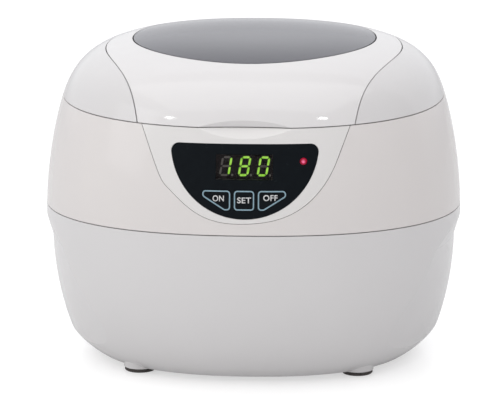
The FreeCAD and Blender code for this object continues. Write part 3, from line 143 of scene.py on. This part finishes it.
def glassPaint(name, look):
    # tinted plastic that is seen through from the front and mirrors at a slant
    paint = Paint(name, IOR=1.49, Specular_IOR_Level=0.5)
    slant = paint.node("ShaderNodeLayerWeight", {}, {"Blend": look["blend"]}, out="Fresnel")
    smear = paint.noise(look["smearScale"], 3)
    paint.feed(Base_Color=paint.mix(paint.spread(smear, 0, 1), look["tint"], look["tintDeep"]),
               Alpha=paint.spread(slant, look["clear"], 1, look["slantFrom"], look["slantTo"]),
               Roughness=paint.spread(smear, look["smooth"], look["rough"]))
    return paint.material


smokedWindow = glassPaint("smokedWindow", {
    "tint": (0.19, 0.19, 0.215), "tintDeep": (0.21, 0.21, 0.24), "blend": 0.4, "clear": 0.62,
    "slantFrom": 0.04, "slantTo": 0.6, "smearScale": 9, "smooth": 0.03, "rough": 0.08})
clearWindow = glassPaint("clearWindow", {
    "tint": (0.012, 0.01, 0.01), "tintDeep": (0.016, 0.013, 0.012), "blend": 0.35, "clear": 0.12,
    "slantFrom": 0.04, "slantTo": 0.6, "smearScale": 60, "smooth": 0.08, "rough": 0.14})


def grainPaint(name, look):
    # plastics, rubbers, films and prints with a fine grain
    paint = Paint(name, IOR=1.45, Specular_IOR_Level=look["gloss"])
    grain = paint.noise(look["grainScale"], 4, 0.6)
    paint.feed(Base_Color=paint.mix(paint.spread(grain, 0, 1), look["deep"], look["pale"]),
               Roughness=paint.spread(grain, look["smooth"], look["rough"]),
               Normal=paint.bump(grain, look["bump"]))
    return paint.material


blackFilm = grainPaint("blackFilm", {
    "deep": (0.003, 0.005, 0.0075), "pale": (0.0042, 0.0068, 0.0095), "gloss": 0.12,
    "grainScale": 260, "smooth": 0.2, "rough": 0.28, "bump": 0.02})
blackPlastic = grainPaint("blackPlastic", {
    "deep": (0.014, 0.014, 0.015), "pale": (0.03, 0.03, 0.032), "gloss": 0.4, "grainScale": 500,
    "smooth": 0.42, "rough": 0.6, "bump": 0.3})
displayFace = grainPaint("displayFace", {
    "deep": (0.012, 0.005, 0.009), "pale": (0.02, 0.009, 0.015), "gloss": 0.3, "grainScale": 500,
    "smooth": 0.42, "rough": 0.6, "bump": 0.1})
sealRubber = grainPaint("sealRubber", {
    "deep": (0.012, 0.012, 0.013), "pale": (0.025, 0.024, 0.024), "gloss": 0.25, "grainScale": 700,
    "smooth": 0.6, "rough": 0.8, "bump": 0.5})
footRubber = grainPaint("footRubber", {
    "deep": (0.05, 0.044, 0.043), "pale": (0.1, 0.09, 0.088), "gloss": 0.25, "grainScale": 600,
    "smooth": 0.55, "rough": 0.75, "bump": 0.5})
ferrite = grainPaint("ferrite", {
    "deep": (0.05, 0.05, 0.055), "pale": (0.11, 0.11, 0.115), "gloss": 0.3, "grainScale": 1500,
    "smooth": 0.5, "rough": 0.7, "bump": 0.4})
transistorBlack = grainPaint("transistorBlack", {
    "deep": (0.012, 0.012, 0.014), "pale": (0.03, 0.03, 0.034), "gloss": 0.35, "grainScale": 1200,
    "smooth": 0.5, "rough": 0.65, "bump": 0.3})
leadCover = grainPaint("leadCover", {
    "deep": (0.02, 0.02, 0.024), "pale": (0.05, 0.05, 0.055), "gloss": 0.4, "grainScale": 400,
    "smooth": 0.35, "rough": 0.5, "bump": 0.2})
ceramic = grainPaint("ceramic", {
    "deep": (0.4, 0.35, 0.26), "pale": (0.55, 0.5, 0.4), "gloss": 0.3, "grainScale": 900,
    "smooth": 0.6, "rough": 0.8, "bump": 0.3})
unlitGrey = grainPaint("unlitGrey", {
    "deep": (0.3, 0.28, 0.26), "pale": (0.38, 0.35, 0.33), "gloss": 0.3, "grainScale": 500,
    "smooth": 0.5, "rough": 0.6, "bump": 0.1})


def boardPaint(name, look):
    # fibreglass board: a woven green with faint tracks
    paint = Paint(name, Specular_IOR_Level=0.45)
    weave = paint.node("ShaderNodeTexWave", {"wave_type": "BANDS", "bands_direction": "X"}, {
        "Vector": paint.place(), "Scale": look["weave"], "Distortion": look["waver"]})
    tracks = paint.node("ShaderNodeTexBrick", {"offset": look["trackShift"]}, {
        "Vector": paint.place(), "Scale": look["tracks"], "Mortar Size": look["trackWidth"]}, out=1)
    tone = paint.mix(tracks, look["green"], look["track"])
    paint.feed(Base_Color=paint.mix(weave * look["fibreShare"], tone, look["fibre"]),
               Roughness=paint.spread(weave, look["smooth"], look["rough"], 0, 1),
               Normal=paint.bump(tracks, look["bump"]))
    return paint.material


circuitBoard = boardPaint("circuitBoard", {
    "green": (0.012, 0.12, 0.045), "track": (0.03, 0.22, 0.09), "fibre": (0.08, 0.2, 0.08),
    "fibreShare": 0.2, "weave": 600, "waver": 0.6, "tracks": 60, "trackShift": 0.37,
    "trackWidth": 0.03, "smooth": 0.25, "rough": 0.4, "bump": 0.3})

# how large the stains on every metal are, and how much of them shows
stains = {"scale": 18, "share": 0.25}


def metalPaint(name, look):
    # brushed or drawn metal: scratches run along one axis
    paint = Paint(name, Metallic=1.0)
    stretched = paint.node("ShaderNodeMapping", {}, {
        "Vector": paint.place(), "Scale": look["brush"]})
    scratch = paint.noise(look["scratchScale"], 5, 0.65, stretched)
    stain = paint.noise(stains["scale"], 3)
    tone = paint.mix(paint.spread(scratch, 0, 1), look["pale"], look["deep"])
    paint.feed(Base_Color=paint.mix(paint.spread(stain, 0, stains["share"]), tone, look["stain"]),
               Roughness=paint.spread(scratch, look["smooth"], look["rough"]),
               Normal=paint.bump(scratch, look["bump"]))
    return paint.material


stainless = metalPaint("stainless", {
    "pale": (0.72, 0.72, 0.73), "deep": (0.6, 0.6, 0.61), "stain": (0.55, 0.55, 0.55),
    "brush": (1, 1, 22), "scratchScale": 90, "smooth": 0.16, "rough": 0.3, "bump": 0.08})
aluminium = metalPaint("aluminium", {
    "pale": (0.8, 0.8, 0.81), "deep": (0.66, 0.66, 0.68), "stain": (0.6, 0.6, 0.61),
    "brush": (1, 12, 12), "scratchScale": 160, "smooth": 0.3, "rough": 0.45, "bump": 0.15})
steel = metalPaint("steel", {
    "pale": (0.62, 0.62, 0.63), "deep": (0.48, 0.48, 0.5), "stain": (0.4, 0.4, 0.4),
    "brush": (6, 6, 1), "scratchScale": 400, "smooth": 0.25, "rough": 0.42, "bump": 0.1})
brassTabs = metalPaint("brassTabs", {
    "pale": (0.78, 0.6, 0.28), "deep": (0.62, 0.45, 0.2), "stain": (0.45, 0.34, 0.16),
    "brush": (1, 14, 14), "scratchScale": 300, "smooth": 0.25, "rough": 0.42, "bump": 0.1})


def windingPaint(name, look):
    # enamelled wire laid turn by turn
    paint = Paint(name, Metallic=0.9)
    bands = {"wave_type": "BANDS", "bands_direction": look["along"]}
    turns = paint.node("ShaderNodeTexWave", bands, {
        "Vector": paint.place(), "Scale": look["turns"], "Distortion": look["waver"]})
    paint.feed(Base_Color=paint.mix(turns, look["deep"], look["pale"]),
               Roughness=paint.spread(turns, look["smooth"], look["rough"], 0, 1),
               Normal=paint.bump(turns, look["bump"], look["wireDepth"]))
    return paint.material


copperWinding = windingPaint("copperWinding", {
    "pale": (0.72, 0.36, 0.14), "deep": (0.32, 0.12, 0.04), "along": "Z", "turns": 380,
    "waver": 0.4, "smooth": 0.25, "rough": 0.45, "bump": 0.8, "wireDepth": 0.0003})
chokeWinding = windingPaint("chokeWinding", {
    "pale": (0.7, 0.34, 0.12), "deep": (0.3, 0.11, 0.04), "along": "X", "turns": 300,
    "waver": 0.4, "smooth": 0.25, "rough": 0.45, "bump": 0.8, "wireDepth": 0.0003})


def segmentPaint(name, look):
    # a lit bar, brighter in soft patches where its light guide is clear
    paint = Paint(name, Specular_IOR_Level=0.3, Roughness=0.4, Emission_Strength=look["strength"])
    patch = paint.noise(look["patchScale"], 2)
    paint.feed(Base_Color=look["body"],
               Emission_Color=paint.mix(paint.spread(patch, 0, 1), look["glow"], look["core"]))
    return paint.material


litGreen = segmentPaint("litGreen", {
    "glow": (0.25, 0.64, 0.03), "core": (0.52, 0.94, 0.14), "body": (0.03, 0.12, 0.01),
    "strength": 1.0, "patchScale": 900})


def lampPaint(name, look):
    # a round lamp: its glow falls off from the axis to a deep rim
    paint = Paint(name, IOR=1.5, Specular_IOR_Level=0.5, Emission_Strength=look["strength"])
    low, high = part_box("indicator_lamp")
    axis = [(low[k] + high[k]) / 2 for k in range(3)]
    apart = paint.node("ShaderNodeVectorMath", {"operation": "SUBTRACT"}, {
        0: paint.place(), 1: axis})
    flat = paint.node("ShaderNodeVectorMath", {"operation": "MULTIPLY"}, {0: apart, 1: (1, 0, 1)})
    reach = paint.node("ShaderNodeVectorMath", {"operation": "LENGTH"}, {0: flat}, out=1)
    rim = paint.spread(reach, 0, 1, look["coreRound"] * mm, look["rimRound"] * mm)
    cloud = paint.noise(look["cloudScale"], 2)
    paint.feed(Base_Color=look["body"],
               Roughness=paint.spread(cloud, look["smooth"], look["rough"]),
               Emission_Color=paint.mix(rim, look["core"], look["rim"]))
    return paint.material


redLamp = lampPaint("redLamp", {
    "core": (1.0, 0.18, 0.4), "rim": (0.27, 0.002, 0.022), "body": (0.11, 0.002, 0.01),
    "strength": 1.0, "coreRound": 0.1, "rimRound": 1.08, "cloudScale": 900, "smooth": 0.05,
    "rough": 0.1})
outlineBlue = grainPaint("outlineBlue", {
    "deep": (0.24, 0.37, 0.45), "pale": (0.3, 0.44, 0.52), "gloss": 0.3, "grainScale": 900,
    "smooth": 0.4, "rough": 0.5, "bump": 0.05})
labelWhite = grainPaint("labelWhite", {
    "deep": (0.66, 0.67, 0.68), "pale": (0.76, 0.76, 0.77), "gloss": 0.3, "grainScale": 900,
    "smooth": 0.4, "rough": 0.5, "bump": 0.05})

# every node of the part, under the material that it gets
finishes = {
    whiteGloss: ["upper_shell"],
    bezelGloss: ["front_bezel"],
    lidGloss: ["lid_saddle"],
    shoulderGlossPaintedShade: ["left_lid_shoulder", "right_lid_shoulder"],
    baseGloss: ["base_shell"],
    whiteMatte: ["lid_liner", "basket", "filter_capacitor"],
    blackFilm: ["control_film", "on_key", "set_key", "off_key"],
    smokedWindow: ["lid_window"],
    clearWindow: ["display_window", "mains_fuse"],
    displayFace: ["led_display"],
    blackPlastic: ["mains_inlet", "tact_switches", "on_plunger", "set_plunger", "off_plunger"],
    sealRubber: ["tank_gasket", "window_gasket"],
    footRubber: ["front_left_foot", "front_right_foot", "back_right_foot", "back_left_foot"],
    ferrite: ["transformer_core"],
    transistorBlack: ["power_transistors"],
    leadCover: ["mains_leads"],
    ceramic: ["piezo_rings"],
    unlitGrey: ["unlit_segments"],
    litGreen: ["lit_segments"],
    redLamp: ["indicator_lamp"],
    circuitBoard: ["control_board", "power_board"],
    stainless: ["tank"],
    aluminium: ["transducer_horn", "heat_sink"],
    steel: ["back_mass", "transducer_bolt", "inlet_pins", "hinge_pin", "housing_screws",
            "lid_screws", "control_board_screws", "power_board_screws"],
    brassTabs: ["transducer_electrodes"],
    copperWinding: ["transformer_coil"],
    chokeWinding: ["choke"]}
finished = set()
for material, names in finishes.items():
    for name in names:
        nodes[name].data.materials.clear()
        nodes[name].data.materials.append(material)
        finished.add(name)
print("finishes on nodes:", len(finished), "left out:", sorted(set(nodes) - finished))


def makeObject(name, shape, material, smooth=True):
    mesh = bpy.data.meshes.new(name)
    shape.to_mesh(mesh)
    shape.free()
    if smooth:
        mesh.shade_smooth()
    mesh.materials.append(material)
    made = bpy.data.objects.new(name, mesh)
    bpy.context.scene.collection.objects.link(made)
    return made


def layOn(shape, node, lift):
    # moves a flat shape along Y until it lies on the front of a node; the rays start 1 m before it
    for vertex in shape.verts:
        start = Vector((vertex.co.x, -1, vertex.co.z))
        touched, spot = nodes[node].ray_cast(start, Vector((0, 1, 0)))[:2]
        if not touched:
            raise RuntimeError("printing runs off " + node)
        vertex.co.y = spot.y - lift * mm


def thicken(shape, thick):
    # gives a flat print its thickness, towards the key, and points its faces outwards
    made = bmesh.ops.extrude_face_region(shape, geom=shape.faces[:], use_keep_orig=True)
    moved = [item for item in made["geom"] if isinstance(item, bmesh.types.BMVert)]
    bmesh.ops.translate(shape, verts=moved, vec=(0, thick * mm, 0))
    bmesh.ops.recalc_face_normals(shape, faces=shape.faces[:])


# in millimetres; each key has its words, their place across, their rise and their stretch
keyPrint = {"line": 0.62, "edge": 0.12, "corner": 1.8, "cornerSteps": 8, "nose": 3, "flange": 0.5,
            "longest": 1.2, "cuts": 6, "lift": 0.03, "thick": 0.05, "letter": 2.75, "capital": 0.7,
            "bold": 0.026, "spacing": 1.06, "weld": 0.001,
            "keys": {"on": ("ON", -12.5, 0.8, 0.91), "set": ("SET", 0, 0, 1.07),
                     "off": ("OFF", 12.8, 1.2, 1)}}


def makeKeyOutline(name, side, look):
    # a thin printed ring that follows the key's edge; side is -1, 0 or 1 from left to right
    low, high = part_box(name + "_key")
    trim = (look["flange"] + look["edge"]) * mm
    left, right = low[0] + trim, high[0] - trim
    bottom, top = low[2] + trim, high[2] - trim
    nose = (look["nose"] - look["edge"] / 2) * mm
    if side == 0:
        spots = [(left, bottom), (right, bottom), (right, top), (left, top)]
    else:
        inner, outer = (left, right) if side > 0 else (right, left)
        spots = [(inner, bottom), (inner + side * nose, bottom), (outer, top - nose), (outer, top),
                 (inner, top)]
    ring = bmesh.new()
    ring.faces.new([ring.verts.new((x, 0, z)) for x, z in spots])
    for corner in ring.verts[:]:
        ahead, behind = [edge.other_vert(corner).co - corner.co for edge in corner.link_edges]
        reach = (look["corner"] - look["edge"]) * mm / math.tan(ahead.angle(behind) / 2)
        bmesh.ops.bevel(ring, geom=[corner], offset=reach, offset_type="OFFSET", profile=0.5,
                        segments=look["cornerSteps"], affect="VERTICES", material=-1)
    face = max(ring.faces, key=lambda item: item.calc_area())
    bmesh.ops.inset_region(ring, faces=[face], thickness=look["line"] * mm, use_boundary=True,
                           use_even_offset=True)
    bmesh.ops.delete(ring, geom=[face], context="FACES")
    long = [edge for edge in ring.edges if edge.calc_length() > look["longest"] * mm]
    bmesh.ops.subdivide_edges(ring, edges=long, cuts=look["cuts"], use_grid_fill=True)
    layOn(ring, name + "_key", look["lift"])
    thicken(ring, look["thick"])
    made = makeObject(name + "KeyOutline", ring, outlineBlue, smooth=False)
    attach(made, name + "_button")


def makeKeyLabel(name, look):
    # the key's word as raised print, from a text object that is removed again
    words, x, rise, stretch = look["keys"][name]
    text = bpy.data.curves.new(name + "Words", type="FONT")
    text.body = words
    text.align_x = "CENTER"
    text.align_y = "CENTER"
    text.size = look["letter"] / look["capital"] * mm
    text.offset = look["bold"] * look["letter"] * mm
    text.space_character = look["spacing"]
    flat = bpy.data.objects.new(name + "Words", text)
    bpy.context.scene.collection.objects.link(flat)
    bpy.context.view_layer.update()
    graph = bpy.context.evaluated_depsgraph_get()
    drawn = bpy.data.meshes.new_from_object(flat.evaluated_get(graph))
    bpy.data.objects.remove(flat)
    low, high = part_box(name + "_key")
    letters = bmesh.new()
    letters.from_mesh(drawn)
    middle = (low[2] + high[2]) / 2 + rise * mm
    bmesh.ops.scale(letters, verts=letters.verts, vec=(stretch, 1, 1))
    bmesh.ops.rotate(letters, verts=letters.verts, cent=(0, 0, 0),
                     matrix=Matrix.Rotation(math.radians(90), 3, "X"))
    bmesh.ops.translate(letters, verts=letters.verts, vec=(x * mm, 0, middle))
    bmesh.ops.remove_doubles(letters, verts=letters.verts, dist=look["weld"] * mm)
    layOn(letters, name + "_key", look["lift"])
    thicken(letters, look["thick"])
    made = makeObject(name + "KeyLabel", letters, labelWhite, smooth=False)
    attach(made, name + "_button")


for side, name in enumerate(keyPrint["keys"], start=-1):
    makeKeyOutline(name, side, keyPrint)
    makeKeyLabel(name, keyPrint)
print("keys printed")

# angles in degrees, slides in millimetres, the other lengths in metres
camera = {"azimuth": 3.03, "elevation": 12.05, "distance": 1.2, "aim": (0, 0, 0.08), "focal": 163.6,
          "slideRight": -2.15, "slideUp": -2.7, "near": 0.05, "far": 30}


def wayTo(azimuth, elevation):
    # the direction from the product to a place at this azimuth and elevation, in degrees
    turn, rise = math.radians(azimuth), math.radians(elevation)
    level = math.cos(rise)
    return Vector((math.sin(turn) * level, -math.cos(turn) * level, math.sin(rise)))


def makeCamera(view):
    back = wayTo(view["azimuth"], view["elevation"])
    turn = math.radians(view["azimuth"])
    right = Vector((math.cos(turn), math.sin(turn), 0))
    up = back.cross(right)
    lens = bpy.data.cameras.new("camera")
    lens.lens = view["focal"]
    lens.clip_start = view["near"]
    lens.clip_end = view["far"]
    body = bpy.data.objects.new("camera", lens)
    target = Vector(view["aim"]) + right * view["slideRight"] * mm + up * view["slideUp"] * mm
    body.matrix_world = Matrix.Translation(target + back * view["distance"]) @ Matrix(
        (right, up, back)).transposed().to_4x4()
    bpy.context.scene.collection.objects.link(body)
    bpy.context.scene.camera = body


makeCamera(camera)


def emitterPaint(name, glow):
    # a surface that gives light and reflects none
    paint = Paint(name, Roughness=1.0, Specular_IOR_Level=0.0, Emission_Strength=glow)
    paint.feed(Base_Color=(0, 0, 0), Emission_Color=(1, 1, 1))
    return paint.material


floorLook = {"reach": 3.2, "tone": (0.64, 0.64, 0.64), "glow": 0.5, "unseen": (0.26, 0.26, 0.26)}


def makeFloor(look):
    # white to the camera, dimmer for the light that it throws back
    floor = bmesh.new()
    bmesh.ops.create_circle(floor, cap_ends=True, segments=96, radius=look["reach"])
    paint = Paint("floorWhite", Roughness=0.25, Specular_IOR_Level=0.4,
                  Emission_Strength=look["glow"])
    seen = paint.node("ShaderNodeLightPath", out="Is Camera Ray")
    paint.feed(Base_Color=look["tone"], Emission_Color=paint.mix(seen, look["unseen"], (1, 1, 1)))
    made = makeObject("floor", floor, paint.material, smooth=False)


screenLook = {"reach": 2.2, "low": 0.02, "tall": 3.6, "from": 104, "to": 264, "steps": 24,
              "glow": 0.97, "tone": (0.97, 0.98, 1), "horizonTone": (0.7, 0.7, 0.72),
              "horizonTop": 0.1, "sweepFrom": 0.4, "sideY": 0.3, "backY": 1.7, "sideShare": 0.35}


def makeScreen(look):
    # the bright sweep behind and beside the product; the camera doesn't see it
    screen = bmesh.new()
    start = math.radians(look["from"])
    first = Vector((math.sin(start), -math.cos(start), 0)) * look["reach"]
    low = screen.verts.new(first + Vector((0, 0, look["low"])))
    high = screen.verts.new(first + Vector((0, 0, look["tall"])))
    edge = screen.edges.new((low, high))
    bmesh.ops.spin(screen, geom=[low, high, edge], cent=(0, 0, 0), axis=(0, 0, 1),
                   steps=look["steps"], angle=math.radians(look["to"] - look["from"]))
    paint = Paint("screenLight", Roughness=1.0, Specular_IOR_Level=0.0,
                  Emission_Strength=look["glow"])
    height = paint.node("ShaderNodeSeparateXYZ", {}, {0: paint.place()}, out="Z")
    behind = paint.node("ShaderNodeSeparateXYZ", {}, {0: paint.place()}, out="Y")
    rise = paint.spread(height, 0, 1, look["horizonTop"], look["sweepFrom"])
    share = paint.spread(behind, look["sideShare"], 1, look["sideY"], look["backY"])
    paint.feed(Base_Color=(0, 0, 0),
               Emission_Color=paint.mix(rise * share, look["horizonTone"], look["tone"]))
    made = makeObject("screen", screen, paint.material)
    made.visible_camera = False


panels = {
    "topPanel": {"centre": (0, -0.5, 1.15), "target": (0, -0.5, 0), "size": (1.7, 1.3, 1),
                 "glow": 1.47},
    "sidePanel": {"centre": (-1.5, -0.85, 0.75), "target": (0, 0, 0.08), "size": (0.9, 0.9, 1),
                  "glow": 1.6}}


def makePanel(name, look):
    # a flat light that faces its target
    panel = bmesh.new()
    bmesh.ops.create_grid(panel, x_segments=1, y_segments=1, size=0.5)
    away = Vector(look["target"]) - Vector(look["centre"])
    facing = away.to_track_quat("-Z", "Y").to_matrix().to_4x4()
    stand = Matrix.Translation(look["centre"]) @ facing
    bmesh.ops.scale(panel, verts=panel.verts, vec=look["size"])
    bmesh.ops.transform(panel, matrix=stand, verts=panel.verts)
    made = makeObject(name, panel, emitterPaint(name + "Light", look["glow"]), smooth=False)
    made.visible_camera = False


# the lamps that leave the two highlights on the lid; start is in millimetres
lampShape = {"round": 0.036, "stretch": (1.7, 1, 0.5), "distance": 1.0, "glow": 16}
lamps = {"leftLamp": {"azimuth": -37.4, "elevation": 29.8, "start": (-36.6, -83.6, 135.8)},
         "rightLamp": {"azimuth": 31.5, "elevation": 31.9, "start": (37.9, -83.1, 136.1)}}


def makeLamp(name, place, look):
    way = wayTo(place["azimuth"], place["elevation"])
    lamp = bmesh.new()
    bmesh.ops.create_uvsphere(lamp, u_segments=32, v_segments=20, radius=look["round"])
    bmesh.ops.scale(lamp, verts=lamp.verts, vec=look["stretch"])
    bmesh.ops.translate(lamp, verts=lamp.verts,
                        vec=Vector(place["start"]) * mm + way * look["distance"])
    made = makeObject(name, lamp, emitterPaint(name + "Light", look["glow"]))
    made.visible_camera = False


roomLook = {"glow": 0.9, "left": (0.98, 0.97, 0.95), "right": (0.56, 0.55, 0.56)}


def makeWorld(look):
    # white to the camera; for all other rays a room that darkens from left to right
    world = bpy.data.worlds.new("studioWorld")
    bpy.context.scene.world = world
    world.use_nodes = True
    tree = world.node_tree
    tree.nodes.clear()
    output = tree.nodes.new("ShaderNodeOutputWorld")
    pick = tree.nodes.new("ShaderNodeMixShader")
    seen = tree.nodes.new("ShaderNodeLightPath")
    room = tree.nodes.new("ShaderNodeBackground")
    room.inputs[1].default_value = look["glow"]
    way = tree.nodes.new("ShaderNodeTexCoord")
    split = tree.nodes.new("ShaderNodeSeparateXYZ")
    tree.links.new(way.outputs["Generated"], split.inputs[0])
    share = tree.nodes.new("ShaderNodeMapRange")
    share.inputs["From Min"].default_value = -1
    shade = tree.nodes.new("ShaderNodeMix")
    shade.data_type = "RGBA"
    shade.inputs[6].default_value = (*look["left"], 1)
    shade.inputs[7].default_value = (*look["right"], 1)
    tree.links.new(split.outputs["X"], share.inputs[0])
    tree.links.new(share.outputs[0], shade.inputs[0])
    tree.links.new(shade.outputs[2], room.inputs[0])
    white = tree.nodes.new("ShaderNodeBackground")
    white.inputs[0].default_value = (1, 1, 1, 1)
    tree.links.new(seen.outputs["Is Camera Ray"], pick.inputs[0])
    tree.links.new(room.outputs[0], pick.inputs[1])
    tree.links.new(white.outputs[0], pick.inputs[2])
    tree.links.new(pick.outputs[0], output.inputs[0])


makeWorld(roomLook)
makeFloor(floorLook)
makeScreen(screenLook)
for name, look in panels.items():
    makePanel(name, look)
for name, place in lamps.items():
    makeLamp(name, place, lampShape)
bpy.context.scene.view_settings.view_transform = "Standard"
print("studio made")
